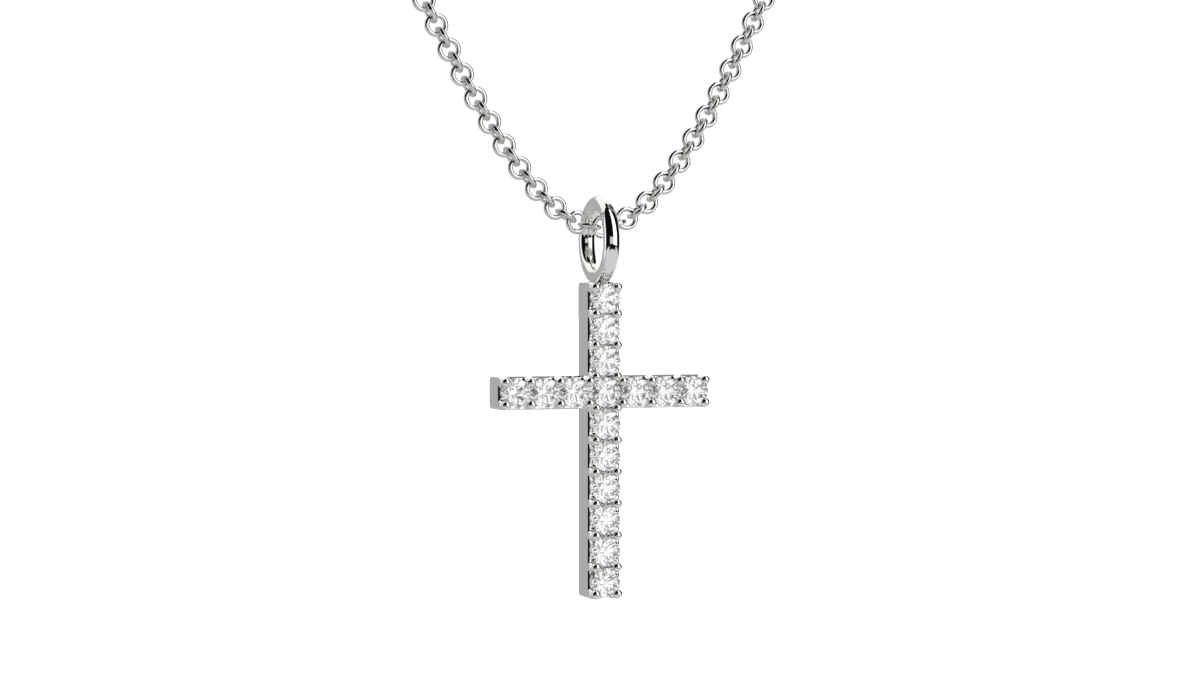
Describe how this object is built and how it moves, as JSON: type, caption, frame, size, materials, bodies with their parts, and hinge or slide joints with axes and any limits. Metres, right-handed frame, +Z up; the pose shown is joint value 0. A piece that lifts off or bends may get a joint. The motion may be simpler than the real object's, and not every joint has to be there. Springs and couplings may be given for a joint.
{
  "type": "cross pendant necklace",
  "caption": "Latin cross pendant set with round brilliant stones in shared prongs, with a ring bail, hanging from a round-link belcher chain with a plain barrel clasp.",
  "frame": {"origin": "middle of the barrel clasp, where the chain lies on the nape of the neck", "axes": "+Z up, -Y to the front, the way the cross faces; +X to the right of someone who looks at the cross's front"},
  "size_m": [0.1068, 0.1045, 0.1591],
  "materials": {
    "white_metal": "mirror polished white gold",
    "chain_metal": "polished white gold wire",
    "stone": "clear cut stone"
  },
  "bodies": {
    "chain": {"chain_front": "chain_metal", "chain_back": "chain_metal", "clasp": "white_metal"},
    "pendant": {"cross_frame": "white_metal", "stone_01": "stone", "stone_02": "stone", "stone_03": "stone", "stone_04": "stone", "stone_05": "stone", "stone_06": "stone", "stone_07": "stone", "stone_08": "stone", "stone_09": "stone", "stone_10": "stone", "stone_11": "stone", "stone_12": "stone", "stone_13": "stone", "stone_14": "stone", "stone_15": "stone", "stone_16": "stone"}
  },
  "joints": [
    {"name": "pendant_swing", "type": "hinge", "parent": "chain", "child": "pendant", "pos_m": [0, -0.1, -0.132], "axis": [1, 0, 0], "range_deg": [-90, 90]}
  ]
}
